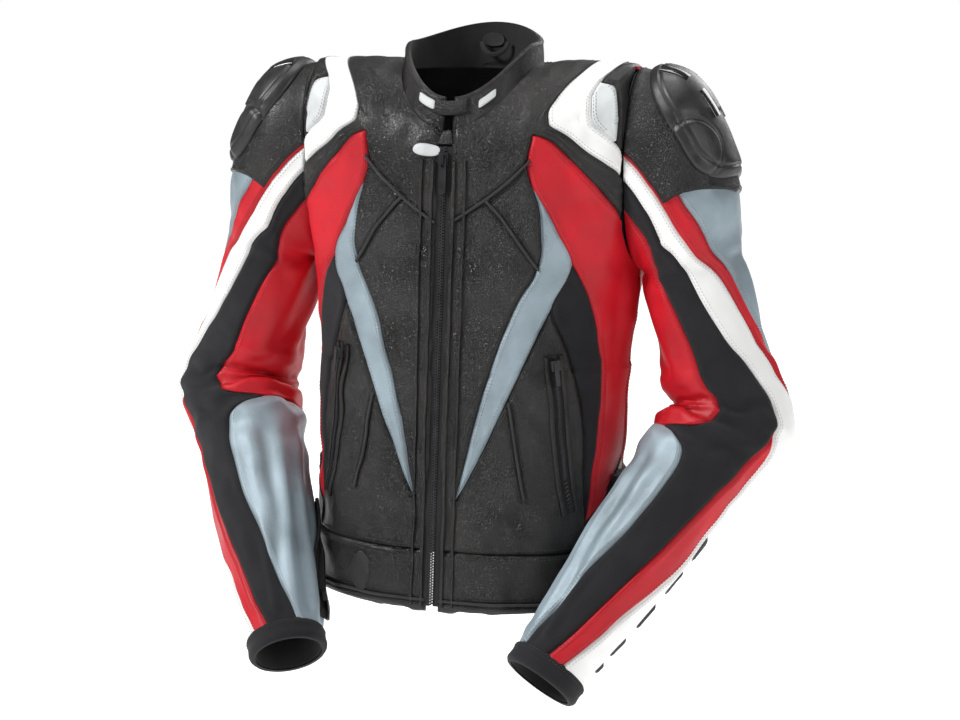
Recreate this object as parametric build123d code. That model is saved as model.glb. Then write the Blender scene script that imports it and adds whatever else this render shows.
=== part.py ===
from build123d import *
import os
from math import ceil, cos, radians, sin

os.makedirs("parts", exist_ok=True)

# A leather riding jacket in its worn shape. Origin at the centre of the neck base,
# +Z up, front towards -Y, the wearer's left towards +X. All sizes in millimetres.

# ---------------------------------------------------------------- driving dimensions
HEM_Z = -528            # lower edge of the waistband
BAND_Z = -464           # seam above the waistband
LEATHER = 3.0           # leather with its backing
LINING = 2.0            # inner fabric with its padding
ARMHOLE_X = 185         # the body ends here, at the sleeve seam
SLEEVE_X = 187          # the sleeve starts here
ZIP_TOP = Vector(0, -97, -30)
ZIP_BOTTOM = Vector(0, -142.1, -528)
SLIT = 14               # gap between the two front edges
TEETH_GAP = 2.4         # gap between the two rows of teeth, where the slider's post runs

ELBOW = Vector(292, 5, -322)
CUFF = Vector(138, -205, -585)
HINGE_AXIS = Vector(-0.661, 0.725, -0.193)    # square to the upper arm and the forearm
BEND_AXIS = Vector(-0.881, 0.461, -0.100)     # the elbow bends about this, clear of the body
ARM_TOP = Vector(250, 10, -178)         # upper arm's axis, level with the armpit
UPPER_END = 20                          # the upper sleeve stops this far above the elbow
GUSSET_R = 66                           # round elbow gusset, outside

NECK_TILT = 21
NECK_BASE = Vector(0, -6, 18)
NECK_RIM = Vector(0, 0, 68)


def front_y(height):
    """Front centre line of the body: straight, so that the zip is straight."""
    slope = (ZIP_TOP.Y - ZIP_BOTTOM.Y) / (ZIP_TOP.Z - ZIP_BOTTOM.Z)
    return ZIP_TOP.Y + slope * (height - ZIP_TOP.Z)


# height, half width, front y, back y; wide near the top, where the armholes cut it off
BODY_RINGS = [(z, half_width, front_y(z), back) for z, half_width, back in (
    (HEM_Z, 180, 105),
    (BAND_Z, 175, 103),
    (-400, 174, 102),
    (-300, 179, 108),
    (-200, 184, 118),
    (-165, 187, 121),
    (-120, 200, 122),
    (-60, 214, 117),
    (-20, 220, 106),
)] + [
    (15, 222, -88, 92),
    (38, 220, -72, 78),
    (52, 210, -50, 60),
    (58, 195, -25, 38),
]

# angle from upright, reach, half depth of the sleeve head's fanned sections
SLEEVE_FAN = ((0, 214, 58), (14, 208, 64), (28, 172, 66), (45, 136, 64), (66, 108, 62))
FAN_PIVOT = Vector(SLEEVE_X, 10, -178)
FAN_GAP = 14

# distance from the elbow and outer radius of the forearm
FOREARM_RINGS = ((38, 59), (100, 59), (200, 54), (290, 46), (328, 42))
CUFF_END = 358
CUFF_R = 43
CUFF_ZIP_ANGLE = 330
CUFF_ZIP_ENDS = ((178, 58.1), (324, 46.5))      # distance from the elbow, radius


# ---------------------------------------------------------------- shared helpers
def save(name, *solids):
    """One node: every solid in it is a separate piece."""
    pieces = [solid for shape in solids for solid in shape.solids()]
    shape = pieces[0] if len(pieces) == 1 else Compound(children=pieces)
    export_step(shape, f"parts/{name}.step")


def mirrored(shape):
    return mirror(shape, about=Plane.YZ)


def both(shape):
    """The shape and its mirror image across the body's middle."""
    return [shape, mirrored(shape)]


def block(low, high):
    """Box between two corners."""
    size = [b - a for a, b in zip(low, high)]
    centre = [(a + b) / 2 for a, b in zip(low, high)]
    return Pos(*centre) * Box(*size)


def front_prism(points):
    """Prism of an outline in X and Z, covering the front half of the body."""
    face = make_face(Plane.XZ * Polyline(*points, close=True))
    return extrude(face, amount=220, dir=(0, -1, 0))


def sector(plane, start, end, low, high, reach=150):
    """Slice of a cylinder about the plane's Z, between two angles and two heights."""
    steps = max(2, ceil((end - start) / 45))
    angles = [radians(start + (end - start) * i / steps) for i in range(steps + 1)]
    rim = [(reach * cos(a), reach * sin(a)) for a in angles]
    face = make_face(Polyline((0, 0), *rim, close=True))
    return plane * Pos(0, 0, low) * extrude(face, amount=high - low, dir=(0, 0, 1))


# ---------------------------------------------------------------- body of the jacket
def body_form(offset):
    """Closed form of the body, grown outwards by offset, cut off at the armholes."""
    rings = []
    for index, (height, half_width, front, back) in enumerate(BODY_RINGS):
        if index == 0:
            height = height + min(0, offset)
        if index == len(BODY_RINGS) - 1:
            height = height + offset
        outline = Ellipse(half_width + offset, (back - front) / 2 + offset)
        rings.append(Pos(0, (front + back) / 2, height) * outline)
    form = loft(rings, ruled=True)
    return form & block((-ARMHOLE_X, -300, -700), (ARMHOLE_X, 300, 200))


def neck_plane(origin):
    tilt = radians(NECK_TILT)
    return Plane(origin=origin, x_dir=(1, 0, 0), z_dir=(0, -sin(tilt), cos(tilt)))


def neck_hole():
    """The neck opening, cut square to the tilted neck line."""
    plane = neck_plane(NECK_BASE)
    return plane * Pos(0, 0, -60) * extrude(Ellipse(72.5, 87.5), amount=200)


def front_slit():
    return block((-SLIT / 2, -220, -700), (SLIT / 2, -40, 60))


def body_shell(outside, inside):
    shell = body_form(outside) - body_form(inside)
    return shell - neck_hole() - front_slit() - collar_form(0.3)


# Outlines of the left half's front panels, X outwards and Z up.
FLASH_OUTLINE = (
    (62, -70), (88, -105), (106, -150), (86, -205), (44, -300), (14, -412),
    (40, -408), (62, -330), (110, -205), (140, -152), (118, -110),
)
CHEST_OUTLINE = (
    (62, -70), (118, -110), (140, -152), (168, -250), (174, -340), (176, -450),
    (200, -450), (200, 20), (120, 20), (84, 8), (66, -22),
)
STRETCH_OUTLINE = (
    (140, -152), (110, -205), (62, -330), (92, -345), (134, -400), (150, -470),
    (176, -450), (174, -340), (168, -250),
)


def front_panels(shell):
    """Split the front half of the shell: flash, chest and stretch panels, and the rest."""
    half = shell & block((SLIT / 2, -220, BAND_Z), (ARMHOLE_X, 0, 45))
    flash = half & front_prism(FLASH_OUTLINE)
    half = half - front_prism(FLASH_OUTLINE)
    chest = half & front_prism(CHEST_OUTLINE)
    half = half - front_prism(CHEST_OUTLINE)
    stretch = half & front_prism(STRETCH_OUTLINE)
    leather = half - front_prism(STRETCH_OUTLINE)
    save("front_panels", *both(leather))
    save("flash_panels", *both(flash))
    save("chest_panels", *both(chest))
    save("stretch_side_panels", *both(stretch))


def shoulder_and_back(shell):
    """White shoulder stripes on top, the yoke across the back and the panel below it."""
    top = shell & block((-ARMHOLE_X, -220, 45), (ARMHOLE_X, 0, 100))
    back = shell & block((-ARMHOLE_X, 0, BAND_Z), (ARMHOLE_X, 220, 100))
    yoke_z = -110
    save("shoulder_stripes", top)
    save("back_yoke", back & block((-200, 0, yoke_z), (200, 220, 100)))
    save("back_panel", back & block((-200, 0, BAND_Z), (200, 220, yoke_z)))


def waist(shell):
    band = shell & block((-200, -220, HEM_Z - 5), (200, 220, BAND_Z))
    save("waistband", band)
    cover = body_form(2.2) - body_form(0.2)
    patch = cover & block((-112, -220, -520), (-68, 0, -474))
    save("waist_patch", patch)


def inside_of_body():
    save("lining", body_shell(-LEATHER, -LEATHER - LINING))
    pad = body_form(-LEATHER - LINING - 0.5) - body_form(-LEATHER - LINING - 11)
    save("back_protector", pad & block((-105, 30, -430), (105, 220, -70)))


def adjuster():
    """Waist adjuster strap on the left side, sewn down at its front end."""
    strap = body_form(4.5) - body_form(1.5)
    return strap & block((120, -35, -412), (185, 45, -388))


# ---------------------------------------------------------------- collar
def collar_form(offset, top=0.0):
    base = neck_plane(NECK_BASE) * Ellipse(72 + offset, 87 + offset)
    rim = neck_plane(NECK_RIM + Vector(0, 0, top)) * Ellipse(70 + offset, 80 + offset)
    return loft([base, rim], ruled=True)


def collar():
    gap = block((-SLIT / 2, -220, -60), (SLIT / 2, -30, 120))
    save("collar_shell", collar_form(0) - collar_form(-LEATHER) - gap)
    save("collar_lining", collar_form(-LEATHER) - collar_form(-LEATHER - LINING) - gap)
    tab_space = block((-38, -160, 9), (20, -40, 28))
    save("collar_tab", (collar_form(5) - collar_form(1.5)) & tab_space)
    patch_space = block((-30, -160, -44), (-9, -40, -24))
    save("neck_patch", (body_form(2.2) - body_form(0.2)) & patch_space)


def hang_loop():
    """Strap loop inside the back of the neck."""
    strap = block((-16, 64, 54), (16, 66.5, 74)) - block((-11, 50, 58), (11, 80, 70))
    save("hang_loop", strap)


# ---------------------------------------------------------------- main zip
ZIP_DOWN = (ZIP_BOTTOM - ZIP_TOP).normalized()
ZIP_PLANE = Plane(origin=ZIP_TOP, x_dir=(1, 0, 0), z_dir=ZIP_DOWN)   # local +Y is backwards
ZIP_LENGTH = (ZIP_BOTTOM - ZIP_TOP).length - 6
TEETH_EDGE = 4.0        # outer edge of each row of teeth


def zip_strip(inner, outer, front, back, low, high):
    strip = block((inner, front, low), (outer, back, high))
    return ZIP_PLANE * strip


def back_sign():
    """+1 when the zip plane's local Y points towards the wearer."""
    return 1 if ZIP_PLANE.y_dir.Y > 0 else -1


def main_zip():
    sign = back_sign()
    near, far = sorted((sign * 0.6, sign * 3.0))
    teeth = zip_strip(TEETH_GAP / 2, TEETH_EDGE, near, far, 0, ZIP_LENGTH)
    near, far = sorted((sign * 1.4, sign * 2.2))
    tape = zip_strip(TEETH_EDGE, SLIT / 2 - 0.2, near, far, 0, ZIP_LENGTH)
    save("zip_teeth", *both(teeth))
    save("zip_tapes", *both(tape))


def zip_plate(half_width, front, back, start, end):
    """Block centred on the zip; front and back are depths behind the leather's face."""
    near, far = sorted((back_sign() * front, back_sign() * back))
    return ZIP_PLANE * block((-half_width, near, start), (half_width, far, end))


def main_slider():
    """Front plate, post and back plate, with a bail over the puller's bar."""
    low, high, pivot = 6, 20, 12
    slider = zip_plate(5.5, -1.2, 0.3, low, high) + zip_plate(0.8, 0.3, 3.3, low, low + 6)
    slider = slider + zip_plate(5.5, 3.3, 4.5, low, high)
    slider = slider + zip_plate(1.2, -4.2, -1.2, pivot - 3, pivot - 1)
    slider = slider + zip_plate(1.2, -4.2, -3.2, pivot - 3, high - 2)
    save("zip_slider", slider)
    puller = zip_plate(4.0, -2.8, -1.6, pivot - 0.6, pivot + 38)
    puller = puller - zip_plate(1.5, -3.4, -1.0, pivot + 0.6, high + 2)
    save("zip_puller", puller)


# ---------------------------------------------------------------- pocket zips
POCKET_TOP = Vector(124, -95, -251)
POCKET_END = Vector(142, -90, -420)


def chain_plane(start, end, outward):
    """Z down the chain, Y away from the surface."""
    along = (end - start).normalized()
    across = Vector(*outward).cross(along)
    return Plane(origin=start, x_dir=across, z_dir=along)


def chain_zip(plane, length, slider_at):
    """Chain of a short zip and its slider, which wraps the chain's front and sides."""
    chain = plane * block((-3.5, -1.2, 0), (3.5, 1.2, length))
    cap = block((-5, 1.5, slider_at), (5, 3.2, slider_at + 11))
    walls = block((-5, -1, slider_at), (-3.8, 1.5, slider_at + 11))
    walls = walls + block((3.8, -1, slider_at), (5, 1.5, slider_at + 11))
    tab = block((-2.5, 3.2, slider_at + 2), (2.5, 4.4, slider_at + 27))
    slider = cap + walls + tab
    return chain, plane * slider


def pocket_zips():
    plane = chain_plane(POCKET_TOP, POCKET_END, (0.62, -0.78, 0))
    length = (POCKET_END - POCKET_TOP).length
    chain, slider = chain_zip(plane, length, 3)
    save("pocket_zips", *both(chain))
    save("pocket_slider_left", slider)
    save("pocket_slider_right", mirrored(slider))


# ---------------------------------------------------------------- left sleeve
ARM_DOWN = (ELBOW - ARM_TOP).normalized()
FOREARM_DOWN = (CUFF - ELBOW).normalized()
UPPER_PLANE = Plane(origin=ARM_TOP, x_dir=(1, 0, 0.33), z_dir=ARM_DOWN)
FOREARM_PLANE = Plane(origin=ELBOW, x_dir=HINGE_AXIS, z_dir=FOREARM_DOWN)


def upper_form(offset):
    """Closed form of the upper sleeve, from the armhole to above the elbow."""
    sections = []
    for angle, reach, half_depth in SLEEVE_FAN:
        out = Vector(sin(radians(angle)), 0, cos(radians(angle)))
        centre = FAN_PIVOT + out * (FAN_GAP + reach / 2)
        plane = Plane(origin=centre, x_dir=out, z_dir=out.cross(Vector(0, 1, 0)))
        sections.append(plane * Ellipse(reach / 2 + offset, half_depth + offset))
    length = (ELBOW - ARM_TOP).length - UPPER_END
    for distance, radius in ((0, 57), (70, 56), (length, 53)):
        sections.append(UPPER_PLANE * Pos(0, 0, distance) * Circle(radius + offset))
    return loft(sections, ruled=True)


def forearm_form(offset):
    rings = [FOREARM_PLANE * Pos(0, 0, s) * Circle(r + offset) for s, r in FOREARM_RINGS]
    return loft(rings, ruled=True)


# start and end angle of each strip about the arm
UPPER_STRIPS = {"silver": ((-150, 20),), "red": ((20, 50), (110, 210)),
                "white": ((50, 78),), "stretch": ((78, 110),)}
FOREARM_STRIPS = {"white": (65, 115), "red": (115, 150), "stretch": (150, 190),
                  "silver": (190, 425)}


def upper_sleeve():
    shell = upper_form(0) - upper_form(-LEATHER)
    pieces = {}
    for colour, spans in UPPER_STRIPS.items():
        cuts = [shell & sector(UPPER_PLANE, a, b, -420, 200, 320) for a, b in spans]
        pieces[f"upper_sleeve_{colour}"] = cuts
    return pieces


def shoulder_armour():
    """Moulded cup with a round boss and two vents, and the soft protector inside."""
    centre = Vector(238, 10, -60)
    cup_axis = Plane(origin=centre, x_dir=(0, 1, 0), z_dir=(0.86, -0.18, 0.48))
    boss_axis = Plane(origin=centre, x_dir=(0, 1, 0), z_dir=(0.55, -0.72, 0.42))
    reach = 160
    grown = {offset: upper_form(offset) for offset in (-13, -4, 1, 7, 9.5, 12)}
    cup = (grown[7] - grown[1]) & (cup_axis * extrude(Ellipse(52, 66), amount=reach))
    boss_prism = boss_axis * extrude(Circle(26), amount=reach)
    boss = (grown[12] - grown[7]) & boss_prism
    vents = []
    for shift in (-24, 24):
        slot = cup_axis * Pos(shift, 38, 0) * extrude(SlotOverall(30, 9), amount=reach)
        vents.append(((grown[9.5] - grown[7]) & slot) - boss_prism)
    pad = (grown[-4] - grown[-13]) & (cup_axis * extrude(Ellipse(50, 62), amount=reach))
    return {"shoulder_cup": [cup], "cup_boss_and_vents": [boss, *vents],
            "shoulder_protector": [pad]}


def elbow_gusset():
    """Bowl over the elbow, open wherever the upper sleeve swings."""
    bowl = Pos(ELBOW) * (Sphere(GUSSET_R) - Sphere(GUSSET_R - LEATHER))
    up = (ARM_TOP - ELBOW).normalized()
    for angle in (-20, -10, 0, 9, 18):
        way = up.rotate(Axis(ELBOW, BEND_AXIS), angle)
        plane = Plane(origin=ELBOW, z_dir=way)
        bowl = bowl - plane * extrude(Circle(58), amount=120)
    bowl = bowl - FOREARM_PLANE * Pos(0, 0, 20) * extrude(Circle(61), amount=120)
    return bowl


def slider_bars():
    """Raised rubber bars along the outer edge of the forearm."""
    skin = forearm_form(4) - forearm_form(0.3)
    bars = []
    for start in range(150, 300, 30):
        bars.append(skin & sector(FOREARM_PLANE, 78, 102, start, start + 20))
    return bars


def cuff_zip():
    """Short zip on the side of the forearm that faces the body, down to the cuff."""
    angle = radians(CUFF_ZIP_ANGLE)
    start, end = [
        FOREARM_PLANE.from_local_coords(Vector(r * cos(angle), r * sin(angle), s))
        for s, r in CUFF_ZIP_ENDS
    ]
    out = FOREARM_PLANE.x_dir * cos(angle) + FOREARM_PLANE.y_dir * sin(angle)
    plane = chain_plane(start, end, tuple(out))
    length = (end - start).length
    return chain_zip(plane, length, length - 30)


def forearm():
    shell = forearm_form(0) - forearm_form(-LEATHER)
    pieces = {}
    for colour, (start, end) in FOREARM_STRIPS.items():
        pieces[f"forearm_{colour}"] = [shell & sector(FOREARM_PLANE, start, end, 0, 400)]
    length = CUFF_END - FOREARM_RINGS[-1][0]
    band = extrude(Circle(CUFF_R) - Circle(CUFF_R - LEATHER), amount=length)
    pieces["cuff_band"] = [FOREARM_PLANE * Pos(0, 0, FOREARM_RINGS[-1][0]) * band]
    pad = forearm_form(-4) - forearm_form(-12)
    pieces["elbow_protector"] = [pad & sector(FOREARM_PLANE, 50, 130, 66, 200)]
    pieces["elbow_gusset"] = [elbow_gusset()]
    pieces["forearm_slider_bars"] = slider_bars()
    chain, slider = cuff_zip()
    pieces["cuff_zip"] = [chain]
    pieces["cuff_slider"] = [slider]
    return pieces


def sleeves():
    for name, shapes in {**upper_sleeve(), **shoulder_armour(), **forearm()}.items():
        save(f"{name}_left", *shapes)
        save(f"{name}_right", *[mirrored(shape) for shape in shapes])


# ---------------------------------------------------------------- the whole jacket
def main():
    shell = body_shell(0, -LEATHER)
    front_panels(shell)
    shoulder_and_back(shell)
    waist(shell)
    inside_of_body()
    collar()
    hang_loop()
    main_zip()
    main_slider()
    pocket_zips()
    strap = adjuster()
    save("waist_adjuster_left", strap)
    save("waist_adjuster_right", mirrored(strap))
    sleeves()


main()
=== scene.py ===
from math import radians

import bpy
import numpy as np
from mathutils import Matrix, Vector


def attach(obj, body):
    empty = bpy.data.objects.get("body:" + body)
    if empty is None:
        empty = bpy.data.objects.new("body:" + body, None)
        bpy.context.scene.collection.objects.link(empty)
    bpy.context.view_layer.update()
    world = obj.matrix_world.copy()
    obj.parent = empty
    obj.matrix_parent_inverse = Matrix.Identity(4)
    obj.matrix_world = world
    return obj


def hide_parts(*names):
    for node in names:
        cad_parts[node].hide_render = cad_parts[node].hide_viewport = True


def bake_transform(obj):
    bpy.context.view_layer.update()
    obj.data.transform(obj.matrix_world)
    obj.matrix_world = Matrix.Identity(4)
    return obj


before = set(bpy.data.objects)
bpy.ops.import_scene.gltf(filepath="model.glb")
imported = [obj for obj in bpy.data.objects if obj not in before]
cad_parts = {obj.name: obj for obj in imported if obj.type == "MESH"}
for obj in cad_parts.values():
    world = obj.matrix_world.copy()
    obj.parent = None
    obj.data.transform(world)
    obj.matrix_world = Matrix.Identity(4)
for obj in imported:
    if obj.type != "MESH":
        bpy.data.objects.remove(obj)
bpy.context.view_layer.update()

# A leather riding jacket. Lengths below are millimetres in the frame's axes: front -Y,
# wearer's left +X, up +Z. Angles round the body and the arms are degrees.
MM = 0.001
STEP = 3.5              # spacing of a panel's grid
LEATHER = 2.6           # thickness of a sewn panel
SEAM_DEPTH = 2.3        # how far a panel dips where it is sewn


# ---------------- curves and noise
def unit(vector):
    vector = np.asarray(vector, float)
    return vector / np.linalg.norm(vector)


def smooth_rows(table, v):
    """Smooth curve through the rows of a table, one row for each whole v."""
    last = len(table) - 1
    v = np.clip(v, 0, last)
    i = np.minimum(v.astype(int), last - 1)
    t = (v - i)[..., None]
    before, start = table[np.clip(i - 1, 0, last)], table[i]
    end, after = table[i + 1], table[np.clip(i + 2, 0, last)]
    before = np.where((i == 0)[..., None], 2 * start - end, before)
    after = np.where((i == last - 1)[..., None], 2 * end - start, after)
    cubic = 3 * (start - end) + after - before
    return start + 0.5 * t * (end - before + t * (2 * before - 5 * start + 4 * end - after + t * cubic))


def curve(*points):
    """Smooth function of v through (v, value) points, level beyond its ends."""
    points = sorted(points)
    xs = np.array([p[0] for p in points], float)
    ys = np.array([p[1] for p in points], float)
    slope = np.diff(ys) / np.diff(xs)
    tangent = np.zeros(len(xs))
    same = slope[:-1] * slope[1:] > 0
    tangent[1:-1] = np.where(same, 2 * slope[:-1] * slope[1:] / (slope[:-1] + slope[1:] + 1e-12), 0)
    tangent[0], tangent[-1] = slope[0], slope[-1]

    def value(v):
        v = np.clip(np.asarray(v, float), xs[0], xs[-1])
        i = np.clip(np.searchsorted(xs, v, "right") - 1, 0, len(xs) - 2)
        h = xs[i + 1] - xs[i]
        t = (v - xs[i]) / h
        a = ys[i] * (1 + 2 * t) * (1 - t) ** 2 + ys[i + 1] * t * t * (3 - 2 * t)
        return a + h * (tangent[i] * t * (1 - t) ** 2 - tangent[i + 1] * t * t * (1 - t))
    return value


def bell(x, centre, width):
    return np.exp(-((x - centre) / width) ** 2)


def rise(x, low, high):
    t = np.clip((x - low) / (high - low), 0, 1)
    return t * t * (3 - 2 * t)


def noise(x, y, seed):
    """Smooth noise between -1 and 1, one random value on each whole x and y."""
    table = np.random.default_rng(seed).uniform(-1, 1, (64, 64))
    i, j = np.floor(x).astype(int), np.floor(y).astype(int)
    s, t = x - i, y - j
    s, t = s * s * (3 - 2 * s), t * t * (3 - 2 * t)
    i, j = i % 63, j % 63
    low = table[i, j] * (1 - s) + table[i + 1, j] * s
    high = table[i, j + 1] * (1 - s) + table[i + 1, j + 1] * s
    return low * (1 - t) + high * t


# ---------------- body surface
# half width, side height, front y, front height, back y, back height of each ring
BODY = np.array([
    (180, -528, -142.1, -528, 105, -528),
    (175, -464, -136.3, -464, 103, -464),
    (174, -400, -130.5, -400, 102, -400),
    (179, -300, -121.4, -300, 108, -300),
    (184, -200, -112.4, -200, 118, -200),
    (186, -110, -107.9, -150, 121, -120),
    (187, -20, -103, -95, 116, -50),
    (186, 35, -99, -55, 105, 5),
    (165, 55, -96, -35, 92, 30),
    (115, 58, -92, -22, 82, 43),
    (76, 52, -88, -13, 75, 50),
], float)
ARMHOLE = (10, -57, 58, 107)        # centre y, centre z, half depth, half height
SEAM_X = 183.5                      # the body flares out to here, where the sleeve starts


def body_folds(angle, v, point):
    """How far the body's leather stands out from its smooth form."""
    x, z = point[..., 0], point[..., 2]
    side = np.abs(np.cos(angle))
    pit = bell(z, -205, 95) * rise(side, 0.62, 0.95)
    ripple = np.sin(np.degrees(angle) / 4.6 + z / 75 + 2 * noise(z / 90, x / 60, 3))
    out = 5.0 * pit * ripple
    waist = bell(z, -440, 30)
    out = out + 2.2 * waist * np.sin(np.degrees(angle) / 5.5 + 3 * noise(x / 45, z / 60, 5))
    out = out + 2.6 * noise(x / 62 + 7, z / 85, 8) * rise(-z, 60, 200)
    out = out + 1.7 * noise(x / 24, z / 30 + 9, 12) + 0.9 * noise(x / 11 + 5, z / 17, 14)
    sweep = np.sin((x * 0.8 + z * 0.45) / 13 + 1.5 * noise(x / 40, z / 50 + 4, 16))
    return out + 0.9 * sweep * noise(x / 50 + 3, z / 60 + 2, 18)


def smooth_body(angle, v):
    ring = smooth_rows(BODY, v)
    c, s = np.cos(angle), np.sin(angle)
    middle = (ring[..., 2] + ring[..., 4]) / 2
    half = (ring[..., 4] - ring[..., 2]) / 2
    x = ring[..., 0] * np.sign(c) * np.abs(c) ** 0.92
    y = middle + half * np.sign(s) * np.abs(s) ** 0.95
    z = ring[..., 1] * c * c + np.where(s < 0, ring[..., 3], ring[..., 5]) * s * s
    apart = np.hypot((y - ARMHOLE[0]) / ARMHOLE[2], (z - ARMHOLE[1]) / ARMHOLE[3]) - 1
    flare = np.exp(-(np.maximum(apart, 0) / 0.38) ** 2) * rise(c, 0.1, 0.5) * rise(x, 118, 165)
    x = x + np.maximum(0, SEAM_X - x) * flare
    return np.stack([x, y, z], -1)


def with_folds(surface, folds):
    """The surface pushed along its normal by its folds."""
    def folded(angle, v):
        point, normal = point_and_normal(surface, angle, v)
        return point + normal * folds(angle, v, point)[..., None]
    return folded


def point_and_normal(surface, angle, v, da=0.012, dv=0.03):
    point = surface(angle, v)
    across = surface(angle + da, v) - surface(angle - da, v)
    along = surface(angle, v + dv) - surface(angle, v - dv)
    normal = np.cross(across, along)
    length = np.linalg.norm(normal, axis=-1, keepdims=True)
    return point, normal / np.maximum(length, 1e-9)


body = with_folds(smooth_body, body_folds)


def armhole_angle(v, back):
    """Angle where each ring meets the armhole, or the side seam where it misses it."""
    v = np.atleast_1d(np.asarray(v, float))
    angles = np.radians(np.linspace(0, 75, 226)) * (1 if back else -1)
    points = smooth_body(angles[None, :] + 0 * v[:, None], v[:, None] + 0 * angles[None, :])
    y, z = points[..., 1], points[..., 2]
    inside = ((y - ARMHOLE[0]) / ARMHOLE[2]) ** 2 + ((z - ARMHOLE[1]) / ARMHOLE[3]) ** 2 < 1
    last = inside.shape[1] - 1 - np.argmax(inside[:, ::-1], axis=1)
    last = np.where(inside.any(axis=1), last, 0)
    return np.degrees(angles[last])


# ---------------- sleeve surface
ELBOW = np.array([292, 5, -322.0])
CUFF = np.array([138, -205, -585.0])
ARM_TOP = np.array([250, 10, -178.0])
FAN_PIVOT = np.array([183, 10, -178.0])
FAN_GAP = 14
FAN = ((0, 214, 58), (14, 208, 64), (28, 174, 66), (45, 140, 65), (66, 112, 62))
UPPER_WAY = unit(ELBOW - ARM_TOP)
LOWER_WAY = unit(CUFF - ELBOW)
HINGE = unit(np.cross(UPPER_WAY, LOWER_WAY))
BEND = float(np.arccos(UPPER_WAY @ LOWER_WAY))


def turned(vector, angle):
    """The vector turned about the elbow's hinge."""
    c, s = np.cos(angle), np.sin(angle)
    return vector * c + np.cross(HINGE, vector) * s + HINGE * (HINGE @ vector) * (1 - c)


def sleeve_rings():
    """Centre, outward and forward half axes of each ring, from armhole to cuff."""
    rings = []
    for tilt, reach, depth in FAN:
        out = np.array([np.sin(radians(tilt)), 0, np.cos(radians(tilt))])
        centre = FAN_PIVOT + out * (FAN_GAP + reach / 2)
        rings.append((centre, out * reach / 2, np.array([0, -depth, 0])))
    outward = np.array([1, 0, 0.33])
    outward = unit(outward - UPPER_WAY * (UPPER_WAY @ outward))
    forward = np.cross(UPPER_WAY, outward)

    def ring(centre, bend, wide, deep):
        rings.append((centre, turned(outward, bend) * wide, turned(forward, bend) * deep))

    ring(ARM_TOP, 0, 57, 58)
    ring(ARM_TOP + UPPER_WAY * 70, 0, 57, 58)
    ring(ELBOW - UPPER_WAY * 45, BEND * 0.12, 63, 58)
    ring(ELBOW + (UPPER_WAY - LOWER_WAY) * 4, BEND * 0.5, 69, 61)
    ring(ELBOW + LOWER_WAY * 45, BEND * 0.88, 65, 60)
    for distance, radius in ((110, 58), (200, 53), (290, 45), (332, 41.5), (359, 41)):
        ring(ELBOW + LOWER_WAY * distance, BEND, radius, radius)
    return np.array([np.concatenate(r) for r in rings])


SLEEVE = sleeve_rings()
SPLIT_ROW = 5.6         # the sleeve's pieces divide here, in the middle of the upper arm
BAND_ROW = 13.15        # the cuff band starts here
STRIP_END = 13.2        # the sleeve's strips end under it


def smooth_sleeve(angle, v):
    ring = smooth_rows(SLEEVE, v)
    wide = ring[..., 3:6] * np.cos(angle)[..., None]
    return ring[..., 0:3] + wide + ring[..., 6:9] * np.sin(angle)[..., None]


def sleeve_folds(angle, v, point):
    """Creases inside the elbow, long folds on the silver leather, soft waves elsewhere."""
    inner = 0.5 - 0.5 * np.cos(angle - radians(-40))
    turn_wave = noise(np.degrees(angle) / 24 + 20, v * 1.4, 31)
    elbow = bell(v, 8.7, 1.1) * inner
    out = 4.2 * elbow * np.sin(v * 9.5 + 2.2 * turn_wave)
    long_wave = np.degrees(angle) / 5.0 + 1.6 * noise(v * 1.1, np.degrees(angle) / 60 + 9, 33)
    silver_low = rise(v, 9.4, 10.2) * rise(13.6 - v, 0, 1.2) * rise(np.degrees(angle), 85, 105)
    out = out + 2.6 * silver_low * np.sin(long_wave)
    silver_top = bell(v, 5.4, 1.9) * rise(-np.degrees(angle), -40, 10)
    out = out + 2.8 * silver_top * np.sin(long_wave * 0.8 + 1)
    red = bell(v, 5.4, 2.4) * rise(np.degrees(angle), 100, 140)
    out = out + 2.6 * red * np.sin(long_wave * 0.7 + v * 2.4)
    out = out + 2.0 * noise(np.degrees(angle) / 38 + 3, v * 1.3 + 4, 35) * rise(v, 1.5, 4)
    out = out + 1.1 * noise(np.degrees(angle) / 15 + 8, v * 3.1, 37) * rise(v, 1.0, 3)
    return out * rise(13.3 - v, -0.2, 0.8)


sleeve = with_folds(smooth_sleeve, sleeve_folds)


# ---------------- materials
def nodes_of(material):
    material.use_nodes = True
    return material.node_tree.nodes, material.node_tree.links


def base_material(name, color, rough, specular=0.5):
    material = bpy.data.materials.new(name)
    nodes, links = nodes_of(material)
    shader = nodes["Principled BSDF"]
    shader.inputs["Base Color"].default_value = (*color, 1)
    shader.inputs["Roughness"].default_value = rough
    shader.inputs["Specular IOR Level"].default_value = specular
    return material, nodes, links, shader


def texture(nodes, links, kind, scale, **settings):
    """A texture in object space, at a scale of features in each metre."""
    coords = nodes.new("ShaderNodeTexCoord")
    node = nodes.new(kind)
    node.inputs["Scale"].default_value = scale
    for key, value in settings.items():
        if hasattr(node, key):
            setattr(node, key, value)
        else:
            node.inputs[key].default_value = value
    links.new(coords.outputs["Object"], node.inputs["Vector"])
    return node


def ramp(nodes, links, source, low, high, first, second):
    """Map a texture's range low to high onto two values or colours."""
    node = nodes.new("ShaderNodeMapRange")
    node.inputs["From Min"].default_value = low
    node.inputs["From Max"].default_value = high
    node.inputs["To Min"].default_value = first
    node.inputs["To Max"].default_value = second
    links.new(source, node.inputs["Value"])
    return node.outputs["Result"]


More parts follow.
